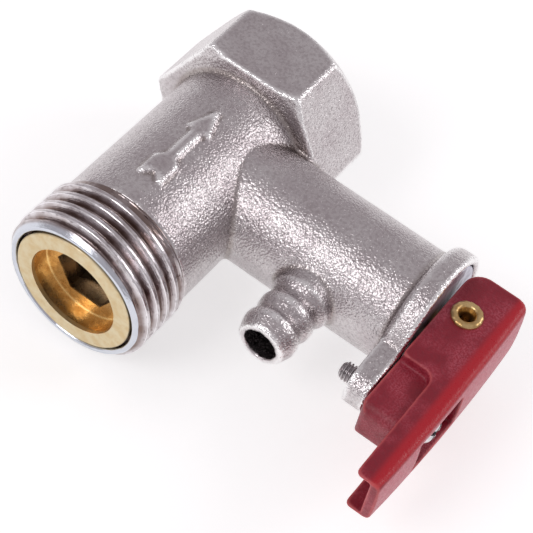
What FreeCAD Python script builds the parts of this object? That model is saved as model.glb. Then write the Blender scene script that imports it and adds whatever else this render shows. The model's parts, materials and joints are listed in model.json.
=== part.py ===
import FreeCAD, Part
import math
import os

# Half-inch safety valve for a water heater: a check valve in the run and a spring-loaded relief
# valve in the side branch, lifted by a test lever. All lengths are in millimetres.
#
# The run lies along +Y in the direction of flow. The origin is on its axis, where the thread of the
# outlet socket starts, just inside the mouth. The branch leaves along +X at BRANCH_Y, and +Z is the
# side with the flow arrow.

V = FreeCAD.Vector
X_AXIS = V(1, 0, 0)
Y_AXIS = V(0, 1, 0)
Z_AXIS = V(0, 0, 1)

# Run: G 1/2 pipe thread outside on the inlet, G 1/2 inside on the outlet
THREAD_MAJOR_R = 10.478
THREAD_MINOR_R = 9.316
THREAD_PITCH = 1.814
THREAD_DEPTH = 1.0
THREAD_CRESTS = 5
MOUTH_Y = 0.7
INLET_Y = MOUTH_Y - 44.16
THREAD_FIRST_Y = INLET_Y + 0.55
RUN_R = 9.87
RUN_BORE_R = 6.2
RUN_MOUTH_R = 9.2
HEX_FLATS = 23.8
HEX_EDGE_R = 0.8
HEX_BACK_Y = MOUTH_Y - 10.85
HEX_CHAMFER_R = 11.75
SOCKET_END_Y = MOUTH_Y - 9.8
CHECK_BORE_R = 7.2
CHECK_SHOULDER_Y = MOUTH_Y - 27.5
BRANCH_Y = MOUTH_Y - 18.0

# Branch, flange and lug; X positions are from the run's axis
BRANCH_R = 7.95
BRANCH_BORE_R = 6.3
SEAT_X = 12.4
SEAT_BORE_R = 2.7
SEAT_FLOOR_X = 11.6
FLANGE_R = 9.6
FLANGE_BACK_X = 32.4
FLANGE_FRONT_X = 35.8
RECESS_R = 8.5
RECESS_X = 34.7
BUSH_R = 6.85
BUSH_BACK_X = 28.2
LUG_BACK_X = 32.7
LUG_FRONT_X = 35.75
SCREW_Y = BRANCH_Y - 13.1
LUG_R = 3.05
LUG_SLOT_R = 1.34
LUG_SLOT_BACK_Y = SCREW_Y - 0.7
LUG_SLOT_FRONT_Y = SCREW_Y - 1.5
NECK_HALF = 3.7

# Drain spout
SPOUT_X = 21.35
SPOUT_END_Y = BRANCH_Y - 17.5
SPOUT_BORE_R = 2.25
BARB_R = 3.8

# Flow arrow, raised on the run
ARROW_TIP_Y = BRANCH_Y + 1.4
ARROW_BARB_Y = BRANCH_Y - 3.3
ARROW_TAIL_Y = BRANCH_Y - 13.2
ARROW_HALF = 1.65
ARROW_SHAFT_HALF = 0.72
ARROW_TOP_Z = RUN_R + 0.4

# Inlet retainer and check valve
RETAINER_HEAD_R = 8.58
RETAINER_BODY_R = 7.6
RETAINER_HEAD = 1.6
RETAINER_LENGTH = 6.0
RETAINER_MOUTH_R = 6.3
RETAINER_FLOOR = 2.85
RETAINER_HEX_FLATS = 8.0
GASKET = 0.4
CHECK_SEAT_LIP = 0.4
CHECK_SEAL = 1.2
CHECK_WASHER_R = 3.2
CHECK_WASHER = 0.5
CHECK_PLATE_R = 6.3
CHECK_PLATE = 1.2
CHECK_STEM_R = 1.5
CHECK_GUIDE = 1.2
CHECK_HUB_R = 4.1
CHECK_SPOKE = 1.6
CHECK_SPRING_R = 3.6
CHECK_WIRE_R = 0.3
CHECK_COILS = 4

# Relief valve
RELIEF_SEAL_R = 4.2
RELIEF_SEAL = 1.5
HOLDER_R = 5.4
HOLDER_FRONT_X = 13.0
HOLDER_BACK_X = 16.0
STEM_R = 1.5
STEM_START_X = 14.6
WASHER = 0.6
RELIEF_SPRING_R = 4.2
RELIEF_WIRE_R = 0.5
RELIEF_COILS = 5
BUSH_FRONT_X = 34.5
O_RING_X = 31.5
O_RING_WIRE_R = 0.65
DISC = 0.9
DISC_GAP = 0.2
RUNNING_GAP = 0.06
FIT_GAP = 0.02

# Lever, rivet and lock screw
PIVOT_X = 39.0
EYE_R = 2.5
EYE_HALF = 2.4
LEVER_HALF = 4.9
LEVER_TIP_HALF = 3.6
CHANNEL_HALF = 3.2
LEVER_INNER_X = 36.05
LEVER_HEEL_Y = BRANCH_Y + 6.7
LEVER_TIP_Y = BRANCH_Y - 26.0
LEVER_TAPER_Y = BRANCH_Y - 8.0
CHEEK_EDGE_X = 40.7
NOTCH_Y = BRANCH_Y - 9.7
WEB_INNER_X = 42.8
LEVER_EDGE_X = 44.45
LEVER_CROWN_X = 44.75
LEVER_EDGE_R = 0.9
LEVER_BOW_R = 280.0
LEVER_BOW_Y = BRANCH_Y - 9.0
BOSS_X = 35.9
BOSS_HALF = 3.3
BOSS_TOP_Y = BRANCH_Y - 8.1
BOSS_END_Y = BRANCH_Y - 17.9
SCREW_SEAT_X = 42.45
SCREW_HEAD_R = 2.5
SCREW_HEAD = 1.9
SCREW_R = 1.25
SCREW_CORE_R = 0.98
SCREW_PITCH = 0.45
SCREW_TIP_X = 30.7
SCREW_THREADS = 13
WINDOW_TOP_Y = BRANCH_Y - 8.7
WINDOW_END_Y = BRANCH_Y - 17.6
WINDOW_HALF = 2.9
RIVET_R = 1.3
RIVET_BORE_R = 0.8
RIVET_HEAD_R = 2.08
RIVET_HEAD = 0.5


def corner(before, point, after, radius):
    """Start, middle and end of the arc that rounds an outline's corner."""
    to_before = (before - point).normalize()
    to_after = (after - point).normalize()
    half = to_before.getAngle(to_after) / 2
    bisector = (to_before + to_after).normalize()
    centre = point + bisector * (radius / math.sin(half))
    run = radius / math.tan(half)
    return point + to_before * run, centre - bisector * radius, point + to_after * run


def outline(points, place):
    """Closed wire through (u, v) points, or (u, v, radius) where a corner is rounded."""
    spots = [place(p[0], p[1]) for p in points]
    edges = []
    ends = []
    for i, point in enumerate(points):
        if len(point) == 3:
            start, middle, end = corner(spots[i - 1], spots[i], spots[(i + 1) % len(spots)], point[2])
            edges.append((i, Part.Arc(start, middle, end).toShape()))
            ends.append((start, end))
        else:
            ends.append((spots[i], spots[i]))
    path = []
    arcs = dict(edges)
    for i in range(len(points)):
        if i in arcs:
            path.append(arcs[i])
        leave = ends[i][1]
        arrive = ends[(i + 1) % len(points)][0]
        if leave.distanceToPoint(arrive) > 1e-6:
            path.append(Part.makeLine(leave, arrive))
    return Part.Wire(path)


def turned_run(points):
    """Solid of revolution about the run, from (y, radius) points."""
    face = Part.Face(outline(points, lambda y, r: V(r, y, 0)))
    return face.revolve(V(0, 0, 0), Y_AXIS, 360)


def turned_branch(points, y=BRANCH_Y):
    """Solid of revolution about a line along X at the given y, from (x, radius) points."""
    face = Part.Face(outline(points, lambda x, r: V(x, y + r, 0)))
    return face.revolve(V(0, y, 0), X_AXIS, 360)


def slab(points, low_z, high_z):
    """Prism with an outline in X and Y."""
    face = Part.Face(outline(points, lambda x, y: V(x, y, low_z)))
    return face.extrude(V(0, 0, high_z - low_z))


def rod_x(radius, start_x, end_x, y=BRANCH_Y):
    return Part.makeCylinder(radius, end_x - start_x, V(start_x, y, 0), X_AXIS)


def rod_y(radius, start_y, end_y, x=0.0):
    return Part.makeCylinder(radius, end_y - start_y, V(x, start_y, 0), Y_AXIS)


def rod_z(radius, low_z, high_z, x, y):
    return Part.makeCylinder(radius, high_z - low_z, V(x, y, low_z), Z_AXIS)


def hexagon_y(flats, start_y, end_y):
    """Hexagonal prism along the run, with two corners on X and two flats across Z."""
    corner_r = flats / 2 / math.cos(math.radians(30))
    angles = [math.radians(60 * i) for i in range(7)]
    ring = [V(corner_r * math.cos(a), start_y, corner_r * math.sin(a)) for a in angles]
    return Part.Face(Part.makePolygon(ring)).extrude(V(0, end_y - start_y, 0))


def coil(radius, wire_r, start, length, turns, axis):
    """Round-wire compression spring between two planes across its axis."""
    height = length - 2 * wire_r
    helix = Part.makeHelix(height / turns, height, radius)
    wire = Part.Wire(Part.makeCircle(wire_r, V(radius, 0, 0), Y_AXIS))
    spring = Part.Wire(helix).makePipeShell([wire], True, True)
    spring.translate(V(0, 0, wire_r))
    placement = FreeCAD.Placement(start, FreeCAD.Rotation(Z_AXIS, axis))
    spring.transformShape(placement.toMatrix())
    return Part.Solid(spring) if spring.ShapeType == "Shell" else spring


def pipe_thread():
    """Crests and roots of the inlet's thread, as (y, radius) points from its end face inwards."""
    root_r = THREAD_MAJOR_R - THREAD_DEPTH
    crest_half = THREAD_PITCH * 0.1
    root_half = THREAD_PITCH * 0.07
    points = []
    for i in range(THREAD_CRESTS):
        crest_y = THREAD_FIRST_Y + i * THREAD_PITCH
        root_y = crest_y + THREAD_PITCH / 2
        points.append((crest_y - crest_half, THREAD_MAJOR_R, 0.1))
        points.append((crest_y + crest_half, THREAD_MAJOR_R, 0.1))
        if i < THREAD_CRESTS - 1:
            points.append((root_y - root_half, root_r, 0.08))
            points.append((root_y + root_half, root_r, 0.08))
    return points


def run_outside():
    last_crest_y = THREAD_FIRST_Y + (THREAD_CRESTS - 1) * THREAD_PITCH
    return turned_run([
        (INLET_Y, 0),
        (INLET_Y, THREAD_MAJOR_R - 0.9, 0.12),
        *pipe_thread(),
        (last_crest_y + 0.75, RUN_R - 0.05, 0.15),
        (last_crest_y + 1.2, RUN_R),
        (HEX_BACK_Y + 0.5, RUN_R),
        (HEX_BACK_Y + 0.5, 0),
    ])


def outlet_hexagon():
    prism = hexagon_y(HEX_FLATS, HEX_BACK_Y, MOUTH_Y)
    edges = [e for e in prism.Edges if abs(e.tangentAt(e.FirstParameter).y) > 0.9]
    prism = prism.makeFillet(HEX_EDGE_R, edges)
    reach = 4.0
    turned = turned_run([
        (HEX_BACK_Y, 0),
        (HEX_BACK_Y, HEX_CHAMFER_R + 0.6),
        (HEX_BACK_Y + reach * 0.5, HEX_CHAMFER_R + 0.6 + reach),
        (MOUTH_Y - reach, HEX_CHAMFER_R + reach),
        (MOUTH_Y, HEX_CHAMFER_R, 0.3),
        (MOUTH_Y, 0),
    ])
    return prism.common(turned)


def branch_outside():
    return turned_branch([
        (0, 0),
        (0, BRANCH_R),
        (FLANGE_BACK_X, BRANCH_R, 0.35),
        (FLANGE_BACK_X + 0.35, FLANGE_R, 1.2),
        (FLANGE_FRONT_X, FLANGE_R, 0.35),
        (FLANGE_FRONT_X, 0),
    ])


def lug():
    """Neck and rounded ear below the flange, which the lock screw goes through."""
    neck_y = BRANCH_Y - 6.0
    ear = slab([
        (LUG_BACK_X, neck_y),
        (LUG_FRONT_X, neck_y),
        (LUG_FRONT_X, SCREW_Y - LUG_R, 0.45),
        (LUG_BACK_X, SCREW_Y - LUG_R, 0.6),
    ], -2 * NECK_HALF, 2 * NECK_HALF)
    slope = (NECK_HALF - LUG_R) / (BRANCH_Y - 8.9 - SCREW_Y)
    wide = NECK_HALF + slope * (neck_y - BRANCH_Y + 8.9)
    waist = Part.Face(outline([
        (neck_y, -wide),
        (neck_y, wide),
        (SCREW_Y, LUG_R),
        (SCREW_Y, -LUG_R),
    ], lambda y, z: V(LUG_BACK_X, y, z))).extrude(V(LUG_FRONT_X - LUG_BACK_X, 0, 0))
    shape = waist.fuse(rod_x(LUG_R, LUG_BACK_X, LUG_FRONT_X, SCREW_Y))
    return ear.common(shape)


def lug_slot():
    """Way through the lug for the lock screw, widened outwards so that the lever can swing."""
    over = 0.4
    low = LUG_BACK_X - over
    high = LUG_FRONT_X + over
    lean = (LUG_SLOT_FRONT_Y - LUG_SLOT_BACK_Y) / (LUG_FRONT_X - LUG_BACK_X)
    start = V(low, LUG_SLOT_BACK_Y - lean * over, 0)
    end = V(high, LUG_SLOT_FRONT_Y + lean * over, 0)
    slanted = Part.makeCylinder(LUG_SLOT_R, (end - start).Length + 1, start, end - start)
    between = slab([(low, SCREW_Y), (high, SCREW_Y), (end.x, end.y), (start.x, start.y)],
                   -LUG_SLOT_R, LUG_SLOT_R)
    return rod_x(LUG_SLOT_R, low, high, SCREW_Y).fuse([slanted, between])


def spout_outside():
    """Drain spout with a thick root and two hose barbs."""
    tip = SPOUT_END_Y
    face = Part.Face(outline([
        (BRANCH_Y, 0),
        (BRANCH_Y, 4.1),
        (BRANCH_Y - 8.9, 4.1, 0.7),
        (BRANCH_Y - 10.2, 3.28, 0.3),
        (BRANCH_Y - 11.4, BARB_R, 0.4),
        (BRANCH_Y - 12.1, BARB_R, 0.4),
        (BRANCH_Y - 13.5, 3.25, 0.3),
        (BRANCH_Y - 14.5, BARB_R, 0.4),
        (BRANCH_Y - 15.2, BARB_R, 0.4),
        (tip + 0.6, 3.2, 0.3),
        (tip, 2.75, 0.25),
        (tip, 0),
    ], lambda y, r: V(SPOUT_X + r, y, 0)))
    return face.revolve(V(SPOUT_X, 0, 0), Y_AXIS, 360)


def flow_arrow():
    notch_y = ARROW_TAIL_Y + 1.4
    fletch_y = ARROW_TAIL_Y + 3.6
    neck_y = ARROW_TAIL_Y + 4.7
    right = [
        (ARROW_HALF, ARROW_TAIL_Y, 0.15),
        (ARROW_HALF, fletch_y, 0.3),
        (ARROW_SHAFT_HALF, neck_y, 0.2),
        (ARROW_SHAFT_HALF, ARROW_BARB_Y, 0.12),
        (ARROW_HALF, ARROW_BARB_Y, 0.12),
    ]
    left = [(-p[0],) + p[1:] for p in reversed(right)]
    points = [(0, notch_y, 0.2)] + right + [(0, ARROW_TIP_Y, 0.2)] + left
    prism = slab(points, RUN_R - 1.5, ARROW_TOP_Z + 1)
    return prism.common(rod_y(ARROW_TOP_Z, ARROW_TAIL_Y - 1, ARROW_TIP_Y + 1))


def run_inside():
    head_floor = INLET_Y + RETAINER_HEAD + GASKET
    body_end = INLET_Y + RETAINER_LENGTH + 0.3
    return turned_run([
        (INLET_Y - 1, 0),
        (INLET_Y - 1, RUN_MOUTH_R),
        (INLET_Y, RUN_MOUTH_R),
        (INLET_Y + 0.3, RETAINER_HEAD_R + 0.28),
        (head_floor, RETAINER_HEAD_R + 0.28),
        (head_floor, RETAINER_BODY_R + FIT_GAP),
        (body_end, RETAINER_BODY_R + FIT_GAP),
        (body_end, CHECK_BORE_R),
        (CHECK_SHOULDER_Y, CHECK_BORE_R),
        (CHECK_SHOULDER_Y, RUN_BORE_R),
        (SOCKET_END_Y - 2, RUN_BORE_R),
        (SOCKET_END_Y, THREAD_MINOR_R),
        (0, THREAD_MINOR_R),
        (MOUTH_Y, THREAD_MINOR_R + MOUTH_Y),
        (MOUTH_Y + 1, THREAD_MINOR_R + MOUTH_Y),
        (MOUTH_Y + 1, 0),
    ])


def branch_inside():
    return turned_branch([
        (3, 0),
        (3, SEAT_BORE_R),
        (SEAT_X, SEAT_BORE_R),
        (SEAT_X, SEAT_BORE_R + 0.9),
        (SEAT_FLOOR_X, SEAT_BORE_R + 1.5),
        (SEAT_FLOOR_X, BRANCH_BORE_R),
        (BUSH_BACK_X - 1, BRANCH_BORE_R),
        (BUSH_BACK_X - 1, BUSH_R + FIT_GAP),
        (RECESS_X, BUSH_R + FIT_GAP),
        (RECESS_X, RECESS_R),
        (FLANGE_FRONT_X + 1, RECESS_R),
        (FLANGE_FRONT_X + 1, 0),
    ])


def spout_bore():
    return rod_y(SPOUT_BORE_R, SPOUT_END_Y - 1, BRANCH_Y - 4, SPOUT_X)


def valve_body():
    outside = run_outside().fuse([outlet_hexagon(), branch_outside(), lug(), spout_outside(), flow_arrow()])
    return outside.cut(run_inside().fuse([branch_inside(), spout_bore(), lug_slot()])).removeSplitter()


def inlet_retainer():
    head_end = INLET_Y + RETAINER_HEAD
    inner_end = INLET_Y + RETAINER_LENGTH
    floor = INLET_Y + RETAINER_FLOOR
    bush = turned_run([
        (INLET_Y, RETAINER_MOUTH_R),
        (INLET_Y, RETAINER_HEAD_R, 0.2),
        (head_end, RETAINER_HEAD_R),
        (head_end, RETAINER_BODY_R),
        (inner_end, RETAINER_BODY_R),
        (inner_end, 5.9),
        (inner_end + CHECK_SEAT_LIP, 5.6),
        (inner_end + CHECK_SEAT_LIP, 5.2),
        (inner_end, 4.9),
        (inner_end, 0),
        (floor, 0),
        (floor, RETAINER_MOUTH_R),
    ])
    return bush.cut(hexagon_y(RETAINER_HEX_FLATS, floor - 1, inner_end + 1))


def ring_y(inner_r, outer_r, start_y, end_y):
    return rod_y(outer_r, start_y, end_y).cut(rod_y(inner_r, start_y - 1, end_y + 1))


def ring_x(inner_r, outer_r, start_x, end_x):
    return rod_x(outer_r, start_x, end_x).cut(rod_x(inner_r, start_x - 1, end_x + 1))


def retainer_gasket():
    start = INLET_Y + RETAINER_HEAD
    return ring_y(RETAINER_BODY_R + FIT_GAP, RETAINER_HEAD_R, start, start + GASKET)


def check_seal_start():
    return INLET_Y + RETAINER_LENGTH + CHECK_SEAT_LIP


def check_seal():
    start = check_seal_start()
    return ring_y(CHECK_STEM_R + FIT_GAP, CHECK_PLATE_R, start, start + CHECK_SEAL)


def check_seal_washer():
    start = check_seal_start()
    return ring_y(CHECK_STEM_R + FIT_GAP, CHECK_WASHER_R, start - CHECK_WASHER, start)


def check_poppet():
    """Plate with a guide stem behind it and a short pin in front that carries the seal."""
    start = check_seal_start()
    plate = start + CHECK_SEAL
    back = plate + CHECK_PLATE
    return turned_run([
        (start - 0.9, 0),
        (start - 0.9, CHECK_STEM_R, 0.3),
        (plate, CHECK_STEM_R),
        (plate, CHECK_PLATE_R),
        (back, CHECK_PLATE_R, 0.3),
        (back, CHECK_STEM_R + 1.2, 0.3),
        (back + 0.8, CHECK_STEM_R, 0.3),
        (CHECK_SHOULDER_Y + 0.6, CHECK_STEM_R, 0.4),
        (CHECK_SHOULDER_Y + 0.6, 0),
    ])


def check_spring():
    start = check_seal_start() + CHECK_SEAL + CHECK_PLATE
    length = CHECK_SHOULDER_Y - CHECK_GUIDE - start
    return coil(CHECK_SPRING_R, CHECK_WIRE_R, V(0, start, 0), length, CHECK_COILS, Y_AXIS)


def check_guide():
    """Spider with three spokes."""
    start = CHECK_SHOULDER_Y - CHECK_GUIDE
    rim = ring_y(RUN_BORE_R - 0.4, CHECK_BORE_R - FIT_GAP, start, CHECK_SHOULDER_Y)
    hub = rod_y(CHECK_HUB_R, start, CHECK_SHOULDER_Y)
    spokes = []
    for i in range(3):
        spoke = Part.makeBox(CHECK_BORE_R - 0.6, CHECK_GUIDE, CHECK_SPOKE, V(0, start, -CHECK_SPOKE / 2))
        spoke.rotate(V(0, 0, 0), Y_AXIS, 90 + 120 * i)
        spokes.append(spoke)
    whole = rim.fuse([hub] + spokes)
    return whole.cut(rod_y(CHECK_STEM_R + RUNNING_GAP, start - 1, CHECK_SHOULDER_Y + 1)).removeSplitter()


def relief_seal():
    return ring_x(0.9, RELIEF_SEAL_R, SEAT_X, SEAT_X + RELIEF_SEAL)


def relief_seal_washer():
    """Flanged bush that clamps the seal's middle into the cup."""
    return turned_branch([
        (SEAT_X - 0.5, 0),
        (SEAT_X - 0.5, 2.0, 0.2),
        (SEAT_X, 2.0),
        (SEAT_X, 0.9),
        (SEAT_X + RELIEF_SEAL, 0.9),
        (SEAT_X + RELIEF_SEAL, 0),
    ])


def seal_holder():
    cup_floor = SEAT_X + RELIEF_SEAL
    return turned_branch([
        (cup_floor, 0),
        (cup_floor, RELIEF_SEAL_R + FIT_GAP),
        (HOLDER_FRONT_X, RELIEF_SEAL_R + FIT_GAP),
        (HOLDER_FRONT_X, HOLDER_R, 0.2),
        (HOLDER_BACK_X, HOLDER_R, 0.3),
        (HOLDER_BACK_X, STEM_R),
        (STEM_START_X, STEM_R),
        (STEM_START_X, 0),
    ])


def relief_stem():
    """Rod with a flattened eye that the lever's rivet goes through."""
    rod = turned_branch([
        (STEM_START_X, 0),
        (STEM_START_X, STEM_R),
        (PIVOT_X, STEM_R),
        (PIVOT_X, 0),
    ])
    eye = rod_z(EYE_R, -EYE_HALF, EYE_HALF, PIVOT_X, BRANCH_Y)
    rim = [e for e in eye.Edges if abs(abs(e.CenterOfMass.z) - EYE_HALF) < 1e-6]
    eye = eye.makeFillet(0.5, rim)
    hole = rod_z(RIVET_R + RUNNING_GAP, -EYE_HALF - 1, EYE_HALF + 1, PIVOT_X, BRANCH_Y)
    return rod.fuse(eye).cut(hole).removeSplitter()


def spring_washer():
    return ring_x(STEM_R + FIT_GAP, HOLDER_R, HOLDER_BACK_X, HOLDER_BACK_X + WASHER)


def relief_spring():
    start = HOLDER_BACK_X + WASHER
    return coil(RELIEF_SPRING_R, RELIEF_WIRE_R, V(start, BRANCH_Y, 0), BUSH_BACK_X - start,
                RELIEF_COILS, X_AXIS)


def adjusting_bush():
    groove_half = O_RING_WIRE_R + 0.12
    hole = STEM_R + RUNNING_GAP
    groove_r = hole + 2 * O_RING_WIRE_R
    bush = turned_branch([
        (BUSH_BACK_X, hole),
        (BUSH_BACK_X, BUSH_R, 0.3),
        (BUSH_FRONT_X, BUSH_R, 0.3),
        (BUSH_FRONT_X, hole),
        (O_RING_X + groove_half, hole),
        (O_RING_X + groove_half, groove_r),
        (O_RING_X - groove_half, groove_r),
        (O_RING_X - groove_half, hole),
    ])
    slot = Part.makeBox(1.2, 2 * BUSH_R, 1.4, V(BUSH_FRONT_X - 1.0, BRANCH_Y - BUSH_R, -0.7))
    return bush.cut(slot)


def stem_o_ring():
    centre_r = STEM_R + RUNNING_GAP + O_RING_WIRE_R
    return Part.makeTorus(centre_r, O_RING_WIRE_R, V(O_RING_X, BRANCH_Y, 0), X_AXIS)


def bonnet_disc():
    return turned_branch([
        (RECESS_X, STEM_R + RUNNING_GAP),
        (RECESS_X, RECESS_R - DISC_GAP),
        (RECESS_X + DISC, RECESS_R - DISC_GAP, 0.2),
        (RECESS_X + DISC, STEM_R + RUNNING_GAP),
    ])


def lever_outline():
    """Side view of the lever's cheeks, with the notch beside the lug."""
    return [
        (LEVER_INNER_X, LEVER_HEEL_Y, 2.5),
        (LEVER_CROWN_X, LEVER_HEEL_Y, 2.4),
        (LEVER_CROWN_X, LEVER_TIP_Y, 0.8),
        (CHEEK_EDGE_X, LEVER_TIP_Y, 0.8),
        (CHEEK_EDGE_X, NOTCH_Y, 1.5),
        (LEVER_INNER_X, NOTCH_Y, 0.6),
    ]


def crowned_block():
    """Block around the lever whose outer side is bowed lengthwise and crowned across."""
    sweep = 8
    half = LEVER_HALF + 1
    back_x = LEVER_INNER_X - 2
    edge_x = LEVER_CROWN_X - (LEVER_CROWN_X - LEVER_EDGE_X) * (half / LEVER_HALF) ** 2
    low = V(edge_x, LEVER_BOW_Y, -half)
    high = V(edge_x, LEVER_BOW_Y, half)
    crown = Part.Arc(low, V(LEVER_CROWN_X, LEVER_BOW_Y, 0), high).toShape()
    rest = Part.makePolygon([high, V(back_x, LEVER_BOW_Y, half), V(back_x, LEVER_BOW_Y, -half), low])
    face = Part.Face(Part.Wire([crown] + rest.Edges))
    centre = V(LEVER_CROWN_X - LEVER_BOW_R, LEVER_BOW_Y, 0)
    face.rotate(centre, Z_AXIS, -sweep)
    return face.revolve(centre, Z_AXIS, 2 * sweep)


def tapered_block():
    """Block whose width is the lever's, thinner towards the tip."""
    return Part.Face(outline([
        (LEVER_HEEL_Y + 1, -LEVER_HALF),
        (LEVER_HEEL_Y + 1, LEVER_HALF),
        (LEVER_TAPER_Y, LEVER_HALF),
        (LEVER_TIP_Y - 1, LEVER_TIP_HALF),
        (LEVER_TIP_Y - 1, -LEVER_TIP_HALF),
        (LEVER_TAPER_Y, -LEVER_HALF),
    ], lambda y, z: V(0, y, z))).extrude(V(LEVER_CROWN_X + 2, 0, 0))


def lever_outside():
    """Cheeks and web as one block, with rounded long edges on its outer side."""
    block = slab(lever_outline(), -LEVER_HALF, LEVER_HALF)
    block = block.common(tapered_block()).common(crowned_block())
    long_edges = [e for e in block.Edges if e.CenterOfMass.x > WEB_INNER_X + 1 and e.Length > 5
                  and abs(e.CenterOfMass.z) > LEVER_TIP_HALF - 0.5]
    return block.makeFillet(LEVER_EDGE_R, long_edges)


def lever_channel():
    """Space between the cheeks: open towards the valve and at the tip, closed at the heel."""
    heel_wall = LEVER_HEEL_Y - 1.2
    return slab([
        (LEVER_INNER_X - 5, heel_wall),
        (WEB_INNER_X, heel_wall, 1.5),
        (WEB_INNER_X, LEVER_TIP_Y - 5),
        (LEVER_INNER_X - 5, LEVER_TIP_Y - 5),
    ], -CHANNEL_HALF, CHANNEL_HALF)


def lever_boss():
    """Block around the lock screw, from the lug to the web."""
    reach = WEB_INNER_X + 0.3
    block = Part.Face(outline([
        (BOSS_TOP_Y, -BOSS_HALF),
        (BOSS_TOP_Y, BOSS_HALF),
        (BOSS_END_Y, BOSS_HALF, 1.6),
        (BOSS_END_Y, -BOSS_HALF, 1.6),
    ], lambda y, z: V(BOSS_X, y, z))).extrude(V(reach - BOSS_X, 0, 0))
    rounded = slab([
        (BOSS_X, BOSS_TOP_Y + 1),
        (BOSS_X, BOSS_END_Y, 1.2),
        (reach, BOSS_END_Y),
        (reach, BOSS_TOP_Y + 1),
    ], -LEVER_HALF, LEVER_HALF)
    return block.common(rounded)


def lever_window():
    """Pocket in the outer face, with the lock screw's head at its foot."""
    pocket = Part.Face(outline([
        (WINDOW_TOP_Y, -WINDOW_HALF, 0.4),
        (WINDOW_TOP_Y, WINDOW_HALF, 0.4),
        (WINDOW_END_Y, WINDOW_HALF, 0.4),
        (WINDOW_END_Y, -WINDOW_HALF, 0.4),
    ], lambda y, z: V(SCREW_SEAT_X, y, z)))
    return pocket.extrude(V(10, 0, 0))


def lever():
    shape = lever_outside().cut(lever_channel()).fuse(lever_boss()).cut(lever_window())
    screw_hole = rod_x(SCREW_R + 0.12, BOSS_X - 1, SCREW_SEAT_X + 1, SCREW_Y)
    rivet_hole = rod_z(RIVET_R + FIT_GAP, -LEVER_HALF - 1, LEVER_HALF + 1, PIVOT_X, BRANCH_Y)
    return shape.cut(screw_hole.fuse(rivet_hole)).removeSplitter()


def lever_rivet():
    """Hollow rivet with rolled heads over both cheeks."""
    top = LEVER_HALF + RIVET_HEAD
    half = [
        (RIVET_BORE_R, 0),
        (RIVET_R, 0),
        (RIVET_R, LEVER_HALF),
        (RIVET_HEAD_R, LEVER_HALF, 0.2),
        (RIVET_HEAD_R, top, 0.28),
        (RIVET_BORE_R + 0.05, top, 0.4),
        (RIVET_BORE_R, LEVER_HALF - 0.4),
    ]
    place = lambda r, z: V(PIVOT_X + r, BRANCH_Y, z)
    upper = Part.Face(outline(half, place)).revolve(V(PIVOT_X, BRANCH_Y, 0), Z_AXIS, 360)
    lower = upper.mirror(V(0, 0, 0), Z_AXIS)
    return upper.fuse(lower).removeSplitter()


def lock_screw():
    """Pan-head screw with a cross recess."""
    seat = SCREW_SEAT_X
    threads = []
    for i in range(SCREW_THREADS):
        x = SCREW_TIP_X + 0.35 + i * SCREW_PITCH
        threads.append((x, SCREW_CORE_R))
        threads.append((x + SCREW_PITCH * 0.4, SCREW_R))
        threads.append((x + SCREW_PITCH * 0.55, SCREW_R))
    thread_end = SCREW_TIP_X + 0.35 + SCREW_THREADS * SCREW_PITCH
    shank = [(SCREW_TIP_X, 0), (SCREW_TIP_X, SCREW_CORE_R - 0.2)] + threads
    shank += [(thread_end, SCREW_CORE_R), (thread_end + 0.2, SCREW_R), (seat, SCREW_R)]
    head = [
        (seat, SCREW_HEAD_R, 0.1),
        (seat + 0.9, SCREW_HEAD_R, 0.4),
        (seat + SCREW_HEAD, SCREW_HEAD_R - 1.3, 1.2),
        (seat + SCREW_HEAD, 0),
    ]
    screw = turned_branch(shank + head, SCREW_Y)
    depth = 1.2
    for turn in (45, 135):
        arm = Part.makeBox(2 * depth, 2.8, 0.65, V(seat + SCREW_HEAD - depth, SCREW_Y - 1.4, -0.325))
        arm.rotate(V(0, SCREW_Y, 0), X_AXIS, turn)
        screw = screw.cut(arm)
    return screw


PIECES = {
    "valve_body": valve_body,
    "inlet_retainer": inlet_retainer,
    "retainer_gasket": retainer_gasket,
    "check_seal": check_seal,
    "check_seal_washer": check_seal_washer,
    "check_poppet": check_poppet,
    "check_spring": check_spring,
    "check_guide": check_guide,
    "relief_seal": relief_seal,
    "relief_seal_washer": relief_seal_washer,
    "seal_holder": seal_holder,
    "relief_stem": relief_stem,
    "spring_washer": spring_washer,
    "relief_spring": relief_spring,
    "adjusting_bush": adjusting_bush,
    "stem_o_ring": stem_o_ring,
    "bonnet_disc": bonnet_disc,
    "lever": lever,
    "lever_rivet": lever_rivet,
    "lock_screw": lock_screw,
}

os.makedirs("parts", exist_ok=True)
for name, make in PIECES.items():
    piece = make()
    print(f"{name}: {piece.ShapeType}, {len(piece.Solids)} solid, valid {piece.isValid()}, "
          f"{piece.Volume:.1f} mm3, {len(piece.Faces)} faces")
    piece.exportStep(f"parts/{name}.step")
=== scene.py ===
"""Looks of a 1/2 inch pressure relief valve: finer skins, materials, light and camera over its CAD frame."""

import json
import math

import bmesh
import bpy
import numpy as np
from mathutils import Matrix, Vector


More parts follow.
